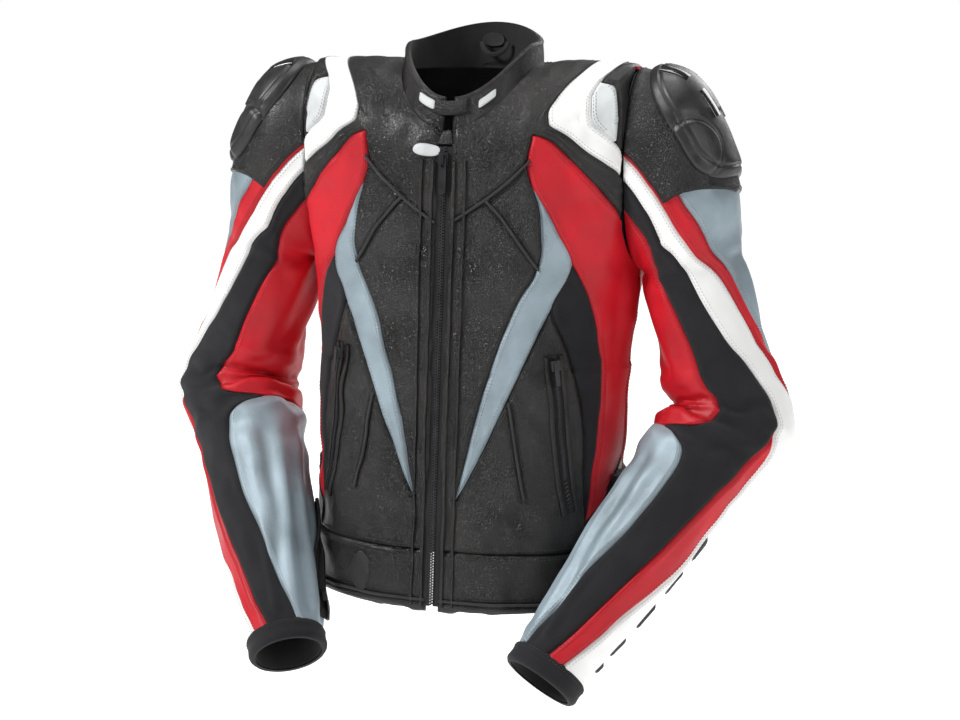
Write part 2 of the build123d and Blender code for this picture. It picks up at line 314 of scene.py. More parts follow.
def tint(nodes, links, shader, color, source, low, high, dark, light):
    """Vary the base colour between a darker and a lighter tone."""
    factor = ramp(nodes, links, source, low, high, 0, 1)
    mix = nodes.new("ShaderNodeMix")
    mix.data_type = "RGBA"
    mix.inputs["A"].default_value = (*[c * dark for c in color], 1)
    mix.inputs["B"].default_value = (*[min(1, c * light) for c in color], 1)
    links.new(factor, mix.inputs["Factor"])
    links.new(mix.outputs["Result"], shader.inputs["Base Color"])


def bumps(nodes, links, shader, layers):
    """Stack bump layers, each a height socket, a strength and a depth in metres."""
    previous = None
    for height, strength, depth in layers:
        bump = nodes.new("ShaderNodeBump")
        bump.inputs["Strength"].default_value = strength
        bump.inputs["Distance"].default_value = depth
        links.new(height, bump.inputs["Height"])
        if previous:
            links.new(previous, bump.inputs["Normal"])
        previous = bump.outputs["Normal"]
    links.new(previous, shader.inputs["Normal"])


def leather(name, color, rough, grain=620, strength=0.35, metallic=0.0, tone=(0.82, 1.12)):
    """Grained leather: pebbled cells, fine wrinkles and uneven gloss."""
    material, nodes, links, shader = base_material(name, color, rough, 0.38)
    shader.inputs["Metallic"].default_value = metallic
    cells = texture(nodes, links, "ShaderNodeTexVoronoi", grain, feature="DISTANCE_TO_EDGE")
    creases = texture(nodes, links, "ShaderNodeTexNoise", 190, Detail=6.0)
    patches = texture(nodes, links, "ShaderNodeTexNoise", 16, Detail=5.0)
    pebbles = ramp(nodes, links, cells.outputs["Distance"], 0.0, 0.16, 0, 1)
    gloss = ramp(nodes, links, patches.outputs["Fac"], 0.3, 0.7, rough - 0.07, rough + 0.09)
    links.new(gloss, shader.inputs["Roughness"])
    tint(nodes, links, shader, color, patches.outputs["Fac"], 0.3, 0.7, *tone)
    bumps(nodes, links, shader, [
        (patches.outputs["Fac"], 0.25, 0.004),
        (creases.outputs["Fac"], strength * 0.9, 0.0009),
        (pebbles, strength, 0.0003),
    ])
    return material


def fabric(name, color, rough, threads=900, strength=0.6, twill=True):
    """Woven cloth: crossing threads with a soft sheen."""
    material, nodes, links, shader = base_material(name, color, rough, 0.25)
    shader.inputs["Sheen Weight"].default_value = 0.06
    shader.inputs["Sheen Roughness"].default_value = 0.5
    direction = "DIAGONAL" if twill else "X"
    warp = texture(nodes, links, "ShaderNodeTexWave", threads, bands_direction=direction)
    weft = texture(nodes, links, "ShaderNodeTexWave", threads * 0.8, bands_direction="Z")
    joined = nodes.new("ShaderNodeMath")
    joined.operation = "MULTIPLY"
    links.new(warp.outputs["Fac"], joined.inputs[0])
    links.new(weft.outputs["Fac"], joined.inputs[1])
    patches = texture(nodes, links, "ShaderNodeTexNoise", 30, Detail=4.0)
    tint(nodes, links, shader, color, patches.outputs["Fac"], 0.3, 0.7, 0.8, 1.25)
    bumps(nodes, links, shader, [(joined.outputs[0], strength, 0.0005)])
    return material


def plain(name, color, rough, metallic=0.0, grain=0.0, coat=0.0):
    """Moulded or plated surface with faint unevenness and hairline wear."""
    material, nodes, links, shader = base_material(name, color, rough)
    shader.inputs["Metallic"].default_value = metallic
    shader.inputs["Coat Weight"].default_value = coat
    patches = texture(nodes, links, "ShaderNodeTexNoise", 60, Detail=6.0)
    gloss = ramp(nodes, links, patches.outputs["Fac"], 0.3, 0.7, rough * 0.8, rough * 1.25)
    links.new(gloss, shader.inputs["Roughness"])
    tint(nodes, links, shader, color, patches.outputs["Fac"], 0.3, 0.7, 0.85, 1.15)
    fine = texture(nodes, links, "ShaderNodeTexNoise", 900, Detail=3.0)
    bumps(nodes, links, shader, [(fine.outputs["Fac"], 0.1 + grain, 0.0003)])
    return material


LOOK = {
    "leather_black": leather("black_leather", (0.0085, 0.0078, 0.0074), 0.33, strength=0.7,
                             tone=(0.4, 2.2)),
    "leather_red": leather("red_leather", (0.50, 0.0035, 0.013), 0.5, grain=800, strength=0.22),
    "leather_white": leather("white_leather", (0.84, 0.84, 0.83), 0.42, grain=800, strength=0.16,
                             tone=(0.95, 1.03)),
    "leather_silver": leather("silver_leather", (0.27, 0.335, 0.375), 0.44, grain=700, strength=0.35,
                              metallic=0.3, tone=(0.74, 1.25)),
    "leather_grey": leather("light_grey_leather", (0.58, 0.60, 0.60), 0.45, strength=0.2),
    "stretch_black": fabric("black_stretch", (0.012, 0.012, 0.014), 0.8),
    "lining": fabric("lining_mesh", (0.020, 0.019, 0.019), 0.85, threads=420, twill=False),
    "foam": fabric("foam_cover", (0.05, 0.05, 0.055), 0.9, threads=260),
    "webbing": fabric("webbing", (0.018, 0.018, 0.018), 0.7, threads=520, twill=False),
    "zip_tape": fabric("zip_tape", (0.014, 0.014, 0.015), 0.75, threads=1100),
    "zip_metal": plain("black_nickel", (0.045, 0.045, 0.048), 0.36, metallic=0.85),
    "armour_black": plain("moulded_armour", (0.018, 0.018, 0.019), 0.42, grain=0.5),
    "gloss_black": plain("gloss_black", (0.010, 0.010, 0.011), 0.12, coat=0.6),
    "rubber_black": plain("rubber", (0.014, 0.014, 0.014), 0.55, grain=0.35),
    "leather_patch": leather("patch_leather", (0.03, 0.028, 0.028), 0.4, strength=0.3),
    "thread_black": fabric("black_thread", (0.03, 0.03, 0.03), 0.6, threads=2400),
    "thread_red": fabric("red_thread", (0.42, 0.01, 0.02), 0.6, threads=2400),
    "thread_grey": fabric("grey_thread", (0.30, 0.33, 0.35), 0.6, threads=2400),
    "thread_white": fabric("white_thread", (0.62, 0.62, 0.60), 0.6, threads=2400),
}
THREAD = {"leather_red": "thread_red", "leather_white": "thread_white",
          "leather_silver": "thread_grey", "leather_grey": "thread_grey"}


# ---------------- mesh building
EDGE = np.array([0, 1.2, 2.6, 5.2, 8.5])    # grid lines this far from a sewn edge
STITCH_LINES = (2, 3)                       # the two of them that carry stitching


def make_object(name, parts, looks):
    """One mesh object from (points in mm, faces) parts, one look for each part."""
    verts, faces, slots = [], [], []
    for slot, (points, part_faces) in enumerate(parts):
        if len(points) == 0:
            continue
        start = sum(len(v) for v in verts)
        verts.append(np.asarray(points, float) * MM)
        faces += [[start + i for i in face] for face in part_faces]
        slots += [slot] * len(part_faces)
    mesh = bpy.data.meshes.new(name)
    mesh.from_pydata(np.concatenate(verts).tolist(), [], faces)
    for look in looks:
        mesh.materials.append(LOOK[look])
    mesh.polygons.foreach_set("material_index", slots)
    mesh.polygons.foreach_set("use_smooth", [True] * len(faces))
    mesh.validate()
    mesh.update()
    mesh.set_sharp_from_angle(angle=radians(58))
    piece = bpy.data.objects.new(name, mesh)
    bpy.context.scene.collection.objects.link(piece)
    return piece


def mirror_parts(parts):
    """The same parts across the body's middle."""
    return [(np.asarray(points) * [-1, 1, 1], [face[::-1] for face in faces]) if len(points)
            else (points, faces) for points, faces in parts]


def grid_faces(rows, cols, flip=False, start=0):
    faces = []
    for i in range(rows - 1):
        for j in range(cols - 1):
            a = start + i * cols + j
            quad = [a, a + 1, a + cols + 1, a + cols]
            faces.append(quad[::-1] if flip else quad)
    return faces


def closed_shell(outer, inner):
    """A sheet with thickness from its outer and inner grids of points."""
    rows, cols = outer.shape[:2]
    count = rows * cols
    faces = grid_faces(rows, cols) + grid_faces(rows, cols, True, count)
    top = list(range(cols))
    bottom = [(rows - 1) * cols + j for j in range(cols)][::-1]
    left = [i * cols for i in range(rows)][::-1]
    right = [i * cols + cols - 1 for i in range(rows)]
    for side in (top, bottom, left, right):
        for a, b in zip(side[:-1], side[1:]):
            faces.append([b, a, a + count, b + count])
    return np.concatenate([outer.reshape(-1, 3), inner.reshape(-1, 3)]), faces


def dashes(points, normals, pitch=3.9, length=2.7, radius=0.45):
    """Raised stitches along a line of points."""
    steps = np.linalg.norm(np.diff(points, axis=0), axis=1)
    distance = np.concatenate([[0], np.cumsum(steps)])
    count = int(distance[-1] / pitch)
    verts, faces = [], []
    for k in range(count):
        ends = (k + 0.5) * pitch + np.array([-length / 2, -length / 4, length / 4, length / 2])
        p = np.stack([np.interp(ends, distance, points[:, i]) for i in range(3)], -1)
        up = unit([np.interp(ends[1], distance, normals[:, i]) for i in range(3)])
        side = np.cross(unit(p[3] - p[0] + 1e-9), up) * radius
        start = len(verts)
        verts.append(p[0] - up * 0.15)
        for q in (p[1], p[2]):
            verts += [q + side, q + up * radius * 1.3, q - side, q - up * 0.3]
        verts.append(p[3] - up * 0.15)
        for i in range(4):
            j = (i + 1) % 4
            faces.append([start, start + 1 + j, start + 1 + i])
            faces.append([start + 1 + i, start + 1 + j, start + 5 + j, start + 5 + i])
            faces.append([start + 9, start + 5 + i, start + 5 + j])
    return verts, faces


def merge_parts(parts):
    verts, faces = [], []
    for points, part_faces in parts:
        faces += [[len(verts) + i for i in face] for face in part_faces]
        verts += list(points)
    return np.array(verts), faces


def spread(count, length, dense_start=True, dense_end=True):
    """Positions 0 to 1 along a length, closer together at its sewn ends."""
    squeeze = np.minimum(1, length / 24.0)
    near = EDGE[None, :] * squeeze[:, None] / np.maximum(length, 1e-6)[:, None]
    near = np.where(length[:, None] < 1e-6, EDGE / 24.0, near)
    first = near if dense_start else near[:, :1] * 0
    last = 1 - near[:, ::-1] if dense_end else near[:, :1] * 0 + 1
    inner = np.linspace(0, 1, count + 1)[1:-1]
    middle = first[:, -1:] + (last[:, :1] - first[:, -1:]) * inner[None, :]
    return np.concatenate([first, middle, last], axis=1)


def seam_profile(distance):
    """The dip at a sewn edge and the soft roll beside it."""
    return -SEAM_DEPTH * np.exp(-(distance / 2.0) ** 2) + 0.55 * bell(distance, 5.0, 3.4)


def distance_to(points, line):
    """Distance from every point to a line given by samples."""
    flat = points.reshape(-1, 1, 3)
    best = np.full(len(flat), 1e9)
    for start in range(0, len(line), 40):
        gap = np.linalg.norm(flat - line[None, start:start + 40], axis=-1)
        best = np.minimum(best, gap.min(axis=1))
    return best.reshape(points.shape[:-1])


def panel(surface, left, right, v0, v1, sewn="lrse", thick=LEATHER, lift=0.0, lines=(),
          stitched=None, step=STEP, depth=1.0, swell=None):
    """A sewn panel between two angle curves and two rows of a surface.

    sewn names its sewn edges: l, r, s (start row) and e (end row). Returns the shell and
    the stitching along those edges and along the seam lines inside it.
    """
    stitched = sewn if stitched is None else stitched
    coarse = np.linspace(v0, v1, 60)
    ends = np.radians(np.stack([left(coarse), right(coarse)], -1))
    middle = surface(ends.mean(axis=1), coarse)
    travel = np.concatenate([[0], np.cumsum(np.linalg.norm(np.diff(middle, axis=0), axis=1))])
    rows = spread(max(2, int(travel[-1] / step)), travel[-1:], "s" in sewn, "e" in sewn)[0]
    v = np.interp(rows * travel[-1], travel, coarse)
    low, high = np.radians(left(v)), np.radians(right(v))
    fine = np.linspace(0, 1, 24)
    arcs = surface(low[:, None] + (high - low)[:, None] * fine, v[:, None] + 0 * fine[None, :])
    width = np.linalg.norm(np.diff(arcs, axis=1), axis=-1).sum(axis=1)
    t = spread(max(2, int(width.max() / step)), width, "l" in sewn, "r" in sewn)
    angle = low[:, None] + (high - low)[:, None] * t
    rows_v = v[:, None] + 0 * t
    point, normal = point_and_normal(surface, angle, rows_v)
    gaps = {"l": t * width[:, None], "r": (1 - t) * width[:, None],
            "s": rows[:, None] * travel[-1] + 0 * t, "e": (1 - rows[:, None]) * travel[-1] + 0 * t}
    edge = np.full(t.shape, 1e3)
    for side in sewn:
        edge = np.minimum(edge, gaps[side])
    height = lift + depth * seam_profile(edge)
    if swell:
        height = height + swell(angle, rows_v, edge)
    seams = [seam_line(surface, line)[0] for line in lines]
    for samples in seams:
        height = height - 1.9 * np.exp(-(distance_to(point, samples) / 3.4) ** 2)
    outer = point + normal * height[..., None]
    inner = outer - normal * thick
    threads = []
    for k in STITCH_LINES:
        wide = width > 16
        for side, column in (("l", k), ("r", -1 - k)):
            if side in stitched and wide.sum() > 4:
                threads.append(dashes(outer[wide, column], normal[wide, column]))
        for side, row in (("s", k), ("e", -1 - k)):
            if side in stitched and width[row] > 12:
                threads.append(dashes(outer[row, 3:-3], normal[row, 3:-3]))
    for line in lines:
        for shift in (-4.4, 4.4):
            threads.append(seam_stitches(surface, line, lift, shift))
        threads.append(seam_cord(surface, line, lift))
    return [closed_shell(outer, inner), merge_parts(threads)]


def seam_line(surface, line):
    """Points and normals along a seam given as (angle, v) corners."""
    line = np.array(line, float)
    t = np.linspace(0, len(line) - 1, 40 * (len(line) - 1))
    angle = np.radians(np.interp(t, np.arange(len(line)), line[:, 0]))
    return point_and_normal(surface, angle, np.interp(t, np.arange(len(line)), line[:, 1]))


def seam_stitches(surface, line, lift, shift):
    point, normal = seam_line(surface, line)
    side = np.cross(normal, np.gradient(point, axis=0))
    side /= np.linalg.norm(side, axis=1, keepdims=True)
    return dashes(point + side * shift + normal * (lift + 0.1), normal)


def seam_cord(surface, line, lift):
    """Thin piping laid in a seam."""
    point, normal = seam_line(surface, line)
    return ribbon(point + normal * (lift + 0.5), normal, 1.5, 2.6)


# ---------------- placing pieces
def arm_blend(piece, side, upper):
    """Bake the piece's transform into its mesh. The span across the shoulder (upper) or the elbow is worked
    out but not used, so the piece does not bend.
    """
    sign = 1 if side == "left" else -1
    if upper:
        start, end = np.array([186, 10, -50.0]), np.array([212, 10, -50.0])
    else:
        way = unit(UPPER_WAY + LOWER_WAY)
        start, end = ELBOW - way * 48, ELBOW + way * 48
    start, end = start * [sign, 1, 1] * MM, end * [sign, 1, 1] * MM
    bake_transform(piece)


def place(name, parts, look, where, replaces=(), both_sides=True):
    """Make the piece on each side of the jacket.

    where is a body's name, with {side} for the side, or shoulder or elbow for a piece
    that is left unparented, its transform baked into its mesh.
    """
    pieces = []
    thread = THREAD.get(look, "thread_black")
    sides = ("left", "right") if both_sides else (None,)
    for side in sides:
        shapes = mirror_parts(parts) if side == "right" else parts
        label = f"{name}_{side}" if side else name
        piece = make_object(label, shapes, [look, thread][:len(shapes)])
        if where in ("shoulder", "elbow"):
            arm_blend(piece, side, where == "shoulder")
        else:
            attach(piece, where.format(side=side))
        nodes = [node.format(side=side) for node in replaces]
        if nodes:
            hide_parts(*nodes)
        pieces.append(piece)
    return pieces


def constant(value):
    return lambda v: np.full(np.shape(v), float(value))


def least(*curves):
    return lambda v: np.minimum.reduce([c(v) for c in curves])


def most(*curves):
    return lambda v: np.maximum.reduce([c(v) for c in curves])


def switch(row, low, high):
    """One curve below a row and another above it."""
    return lambda v: np.where(np.asarray(v) < row, low(v), high(v))


def behind(angle_curve):
    """The same curve on the back."""
    return lambda v: -angle_curve(v)


# ---------------- body panels
ZIP_EDGE = curve((0, -88.2), (5, -88.4), (7.5, -88.2), (9, -87), (10, -85))
FLASH_IN = curve((1.9, -83.5), (3, -76), (4.1, -64.5), (4.6, -58.5), (5, -56.5), (5.5, -57.2), (6.15, -61))
FLASH_OUT = curve((1.9, -83.5), (2.1, -80.5), (3, -67), (4, -52), (4.65, -44), (5.3, -51.5), (6.15, -61))
STRETCH_IN = curve((1.5, -28), (2.6, -32), (3.5, -43), (3.9, -51), (4.0, -52), (4.65, -44))
STRETCH_OUT = curve((1.5, -28), (2.56, -24), (3.36, -23), (3.5, -26), (4.65, -44))
RED_INNER = curve((4.65, -44), (5.3, -51.5), (6.15, -61), (6.7, -63), (7.7, -59))
RED_TOP = curve((5.1, -25), (5.45, -35), (5.9, -42), (6.6, -50), (7.65, -59))
RED_OUTER = curve((1.5, -28), (2.0, -12), (2.4, 0), (3.3, 0), (4.5, 0))
WHITE_INNER = curve((5.6, -26), (6.0, -37), (6.7, -46), (7.7, -52), (8.2, -48), (8.4, -40), (8.55, -24),
                    (8.66, 0), (8.72, 38))
WHITE_OUTER = curve((5.9, -27), (6.1, -30), (6.4, -35), (7.0, -40), (7.8, -35), (8.15, -26), (8.3, -12),
                    (8.36, 8), (8.4, 38))
WEDGE_OUTER = curve((6.3, -33), (6.9, -30), (7.4, -27), (7.9, -25), (8.3, -26))


def arm_front(v):
    return armhole_angle(v, False).reshape(np.shape(v))


def arm_back(v):
    return armhole_angle(v, True).reshape(np.shape(v))


YOKE_SEAM = ((-88, 5.7), (-79, 6.05), (-69, 6.45), (-62, 6.78))
DIAGONAL_SEAM = ((-77, 6.12), (-57.5, 4.65))
HEM_SEAM = ((-88, 0.16), (0, 0.16), (88, 0.16))


LOWER_EDGE = switch(1.5, constant(-28), STRETCH_IN)
CENTRE_EDGE = switch(6.15, FLASH_IN, RED_INNER)
CHEST_INNER = switch(4.65, most(STRETCH_OUT, constant(-44)), RED_INNER)
ARM_FRONT_HIGH = switch(6.1, arm_front, constant(90))   # open where the stripe leaves the armhole


def torso_panel(name, look, left, right, v0, v1, sewn="lr", replaces=(), **shape):
    place(name, panel(body, left, right, v0, v1, sewn, **shape), look, "torso", replaces=replaces)


def ribs(pitch, depth):
    """Swelling that makes ribs across a stretch insert, fading at its edges."""
    def height(angle, v, edge):
        wave = np.abs(np.sin(np.pi * v / pitch)) - 0.6
        return depth * wave * np.clip(edge / 6, 0, 1)
    return height


def front_leather():
    black = "leather_black"
    torso_panel("front_lower_leather", black, ZIP_EDGE, LOWER_EDGE, 1.0, 1.9, "lrs", stitched="s")
    torso_panel("front_centre_leather", black, ZIP_EDGE, CENTRE_EDGE, 1.9, 7.7, "lr", ("front_panels",),
                lines=(DIAGONAL_SEAM, YOKE_SEAM))
    torso_panel("front_side_leather", black, FLASH_OUT, STRETCH_IN, 1.9, 3.95, "lr", stitched="l",
                lines=(PANEL_SEAM,))
    torso_panel("collar_yoke", black, ZIP_EDGE, WHITE_INNER, 7.7, 8.7, "lr")
    torso_panel("neck_front_leather", black, ZIP_EDGE, constant(40), 8.7, 10, "lr", stitched="")
    torso_panel("shoulder_front_strip", black, RED_TOP, least(WHITE_INNER, arm_front), 5.1, 7.7, "lr",
                swell=strip_ribs)
    torso_panel("low_side_leather", black, constant(-28), constant(28), 1.0, 1.5, "ls", stitched="s")
    torso_panel("side_leather", black, RED_OUTER, behind(RED_OUTER), 1.5, 2.4, "lr")


def strip_ribs(angle, v, edge):
    """Accordion folds in the strip, next to the armhole."""
    return 1.6 * np.abs(np.sin(v * 42)) * np.clip(edge / 5, 0, 1) * rise(-v, -5.85, -5.6)


def coloured_panels():
    torso_panel("flash", "leather_silver", FLASH_IN, FLASH_OUT, 1.9, 6.15, "lr", ("flash_panels",))
    torso_panel("stretch_side", "stretch_black", STRETCH_IN, STRETCH_OUT, 1.5, 4.62, "lr",
                ("stretch_side_panels",), stitched="")
    torso_panel("red_side", "leather_red", STRETCH_OUT, RED_OUTER, 1.5, 4.3)
    chest_edge = switch(5.12, arm_front, least(RED_TOP, arm_front))
    torso_panel("red_chest", "leather_red", CHEST_INNER, chest_edge, 4.3, 7.7, "lr", ("chest_panels",))
    torso_panel("white_shoulder", "leather_white", WHITE_INNER, least(WHITE_OUTER, ARM_FRONT_HIGH),
                5.6, 8.7, "lr", ("shoulder_stripes",))
    torso_panel("grey_wedge", "leather_grey", WHITE_OUTER, most(WEDGE_OUTER, WHITE_OUTER), 6.35, 8.3)
    torso_panel("back_flash", "leather_silver", behind(FLASH_OUT), behind(FLASH_IN), 1.9, 6.15)
    torso_panel("back_stretch_side", "stretch_black", behind(STRETCH_OUT), behind(STRETCH_IN), 1.5, 4.62,
                stitched="")
    torso_panel("back_red_side", "leather_red", behind(RED_OUTER), behind(STRETCH_OUT), 1.5, 4.3)
    torso_panel("back_red_chest", "leather_red", arm_back, behind(CHEST_INNER), 4.3, 6.3)
    torso_panel("back_red_shoulder", "leather_red", arm_back, constant(40), 6.3, 7.85, "lr")


def back_and_shoulder():
    black = "leather_black"
    torso_panel("shoulder_top", black, most(WHITE_OUTER, WEDGE_OUTER), constant(40), 7.85, 8.38, "lr")
    torso_panel("cup_base_leather", black, most(WHITE_OUTER, WEDGE_OUTER), arm_front, 6.1, 7.85, "lr",
                stitched="")
    torso_panel("back_yoke_leather", black, constant(40), constant(90), 6.3, 10, "ls", ("back_yoke",),
                lines=(((42, 8.6), (90, 8.2)),))
    torso_panel("back_centre_leather", black, behind(FLASH_IN), constant(90), 1.9, 6.3, "l",
                ("back_panel",), lines=(((88, 5.2), (62, 5.9)),))
    torso_panel("back_side_leather", black, behind(STRETCH_IN), behind(FLASH_OUT), 1.9, 3.95)
    torso_panel("back_low_leather", black, constant(28), constant(52), 1.0, 1.9, "lrs", stitched="s")
    torso_panel("back_waist_stretch", "stretch_black", constant(52), constant(90), 1.0, 1.9, "ls",
                stitched="ls", swell=ribs(0.1, 2.4))


PANEL_SEAM = ((-66, 3.0), (-58, 1.95))


def waistband():
    outer = panel(body, constant(-88.2), constant(90), 0, 1.0, "lse", thick=4, lift=0.6,
                  lines=(HEM_SEAM,), stitched="e")
    place("waistband_leather", outer, "leather_black", "torso", replaces=("waistband",))


# ---------------- sleeve panels
SILVER_EDGE = curve((0, 66), (1.2, 76), (2.3, 74), (4, 50), (5.4, 20), (6.1, -2), (7, -25), (8, -40))
RED_EDGE = curve((0, 80), (1.2, 92), (2, 91), (2.9, 87), (4, 70), (5.25, 39), (6.1, 17), (7.2, 6),
                 (7.7, -14), (8, -40))
WHITE_EDGE = curve((0, 94), (1.2, 106), (2.7, 107), (4.1, 88), (5.2, 74), (5.8, 60), (6.4, 47), (7.3, 37),
                   (8.3, 28), (8.85, 8), (9.5, 0), (10.2, 0), (10.8, 6), (11.5, 26), (12.2, 41), (13.3, 56))
RED_LOW = curve((8.3, 28), (8.85, 25), (9.4, 26), (10, 32), (10.7, 42), (11.3, 53), (11.9, 64), (13.3, 83))
BLACK_EDGE = curve((0, 112), (1.2, 121), (2.8, 121), (4.3, 121), (5.4, 103), (6, 96), (7.4, 92), (8.3, 87),
                   (8.85, 87), (9.0, 96), (9.15, 128), (9.3, 106), (9.55, 88), (10, 82), (10.6, 85),
                   (11.2, 96), (11.9, 111), (12.7, 124), (13.3, 132))
WHITE_BACK = curve((8.0, -40), (9, -52), (11, -50), (13.3, -42))
INNER_BACK = 215
OUTER_BACK = INNER_BACK - 360


def sleeve_strip(name, left, right, v0, v1, look, ends="", stitched=None, replaces=(), low_replaces=(),
                 swell=None):
    """A strip down the sleeve, in two pieces where it passes the middle of the upper arm."""
    stitched = "lr" if stitched is None else stitched
    if v0 < SPLIT_ROW:
        last = min(v1, SPLIT_ROW)
        sewn = "lr" + ("s" if "s" in ends else "") + ("e" if "e" in ends and v1 <= SPLIT_ROW else "")
        parts = panel(sleeve, left, right, v0, last, sewn, stitched=stitched, swell=swell)
        place(f"{name}_upper", parts, look, "shoulder", replaces=replaces)
    if v1 > SPLIT_ROW:
        first = max(v0, SPLIT_ROW)
        sewn = "lr" + ("s" if "s" in ends and v0 >= SPLIT_ROW else "") + ("e" if "e" in ends else "")
        parts = panel(sleeve, left, right, first, v1, sewn, stitched=stitched, swell=swell)
        place(f"{name}_lower", parts, look, "elbow", replaces=low_replaces)


def sleeves():
    sleeve_strip("sleeve_silver", constant(OUTER_BACK), SILVER_EDGE, 0, 7.6, "leather_silver", "se",
                 replaces=("upper_sleeve_silver_{side}",))
    sleeve_strip("sleeve_red_stripe", SILVER_EDGE, RED_EDGE, 0, 8.0, "leather_red", "s")
    white_left = switch(8.0, RED_EDGE, WHITE_BACK)
    sleeve_strip("sleeve_white", white_left, WHITE_EDGE, 0, STRIP_END, "leather_white", "s",
                 replaces=("upper_sleeve_white_{side}",), low_replaces=("forearm_white_{side}",))
    black_left = switch(8.3, WHITE_EDGE, RED_LOW)
    sleeve_strip("sleeve_black", black_left, BLACK_EDGE, 0, STRIP_END, "stretch_black", "s", "",
                 replaces=("upper_sleeve_stretch_{side}",), low_replaces=("forearm_stretch_{side}",))
    sleeve_strip("sleeve_red_inner", BLACK_EDGE, constant(INNER_BACK), 0, 9.15, "leather_red", "se",
                 replaces=("upper_sleeve_red_{side}",))
    sleeve_strip("forearm_red_stripe", WHITE_EDGE, most(RED_LOW, WHITE_EDGE), 8.32, STRIP_END, "leather_red",
                 low_replaces=("forearm_red_{side}",))
    sleeve_strip("forearm_silver", BLACK_EDGE, constant(INNER_BACK), 9.15, STRIP_END, "leather_silver", "s",
                 low_replaces=("forearm_silver_{side}", "elbow_gusset_{side}"))
    back_right = switch(8, SILVER_EDGE, WHITE_BACK)
    sleeve_strip("elbow_back", constant(OUTER_BACK), back_right, 7.6, 9.4, "stretch_black", "", "",
                 swell=ribs(0.14, 2.0))
    sleeve_strip("forearm_back", constant(OUTER_BACK), WHITE_BACK, 9.4, STRIP_END, "leather_black", "s")
    cuff = panel(sleeve, constant(-180), constant(180), BAND_ROW - 0.05, 13.98, "se", thick=4, lift=1.8,
                 stitched="s")
    place("cuff_band_cloth", cuff, "stretch_black", "forearm_{side}", replaces=("cuff_band_{side}",))


# ---------------- collar
COLLAR = np.array([
    (77, 46, -89.5, -17, 76, 44),
    (76, 62, -85, 4, 79, 70),
    (74, 78, -80, 22, 78, 96),
], float)


def collar_surface(angle, v):
    ring = smooth_rows(COLLAR, v)
    c, s = np.cos(angle), np.sin(angle)
    middle = (ring[..., 2] + ring[..., 4]) / 2
    half = (ring[..., 4] - ring[..., 2]) / 2
    z = ring[..., 1] * c * c + np.where(s < 0, ring[..., 3], ring[..., 5]) * s * s
    return np.stack([ring[..., 0] * c, middle + half * s, z], -1)


def collar():
    shell = panel(collar_surface, constant(-86), constant(266), 0, 2, "lrse", thick=3, step=3)
    place("collar_leather", shell, "leather_black", "torso", replaces=("collar_shell",), both_sides=False)
    inside = panel(collar_surface, constant(-86), constant(266), -0.0, 1.97, "", thick=2.4, lift=-3.2,
                   stitched="", step=4)
    place("collar_inside", inside, "lining", "torso", replaces=("collar_lining",), both_sides=False)


# ---------------- lining and protectors
def linings():
    torso_panel("body_lining", "lining", constant(-88), constant(90), 0.02, 10, "", ("lining",),
                thick=1.2, lift=-4.4, stitched="", step=8)
    upper = panel(sleeve, constant(-180), constant(180), 0, SPLIT_ROW, "", thick=1.2, lift=-4.4,
                  stitched="", step=8)
    place("sleeve_lining_upper", upper, "lining", "shoulder")
    lower = panel(sleeve, constant(-180), constant(180), SPLIT_ROW, 13.9, "", thick=1.2, lift=-4.4,
                  stitched="", step=8)
    place("sleeve_lining_lower", lower, "lining", "elbow")


def pad(surface, angles, rows, lift, thick, count=28):
    """Soft protector: a crowned pad whose faces close in at its rounded rim."""
    u, w = np.meshgrid(np.linspace(-1, 1, count), np.linspace(-1, 1, count))
    scale = np.maximum(np.abs(u), np.abs(w)) / np.maximum((u ** 4 + w ** 4) ** 0.25, 1e-9)
    u, w = u * scale, w * scale
    angle = np.radians(sum(angles) / 2 + u * (angles[1] - angles[0]) / 2)
    v = sum(rows) / 2 + w * (rows[1] - rows[0]) / 2
    point, normal = point_and_normal(surface, angle, v)
    crown = np.clip(1 - (u ** 4 + w ** 4), 0, 1) ** 0.35
    cells = 0.5 * np.abs(np.sin(u * 12) * np.sin(w * 12)) * crown
    outer = point + normal * (lift + cells)[..., None]
    inner = point + normal * (lift - thick * (0.12 + 0.88 * crown))[..., None]
    return [closed_shell(outer, inner)]


def protectors():
    back = pad(body, (38, 142), (1.9, 6.8), -7.5, 10)
    piece = place("back_protector_pad", back, "foam", "torso", replaces=("back_protector",),
                  both_sides=False)[0]
    for side_piece in place("shoulder_pad", pad(sleeve, (-48, 48), (0.9, 3.4), -7.5, 8), "foam",
                            "upper_sleeve_{side}", replaces=("shoulder_protector_{side}",)):
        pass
    for side_piece in place("elbow_pad", pad(sleeve, (-95, -5), (9.4, 10.9), -7.5, 8), "foam",
                            "forearm_{side}", replaces=("elbow_protector_{side}",)):
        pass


# ---------------- zips
def box_part(centre, half, axes):
    """Box with chamfered ends round a centre; axes are its three unit directions."""
    verts = []
    for k, shrink in ((-1, 0.7), (-0.6, 1), (0.6, 1), (1, 0.7)):
        for i, j in ((-1, -1), (1, -1), (1, 1), (-1, 1)):
            verts.append(centre + axes[0] * i * half[0] * shrink + axes[1] * j * half[1] * shrink
                         + axes[2] * k * half[2])
    faces = [[3, 2, 1, 0], [12, 13, 14, 15]]
    for ring in (0, 4, 8):
        for i in range(4):
            j = (i + 1) % 4
            faces.append([ring + i, ring + j, ring + 4 + j, ring + 4 + i])
    return verts, faces


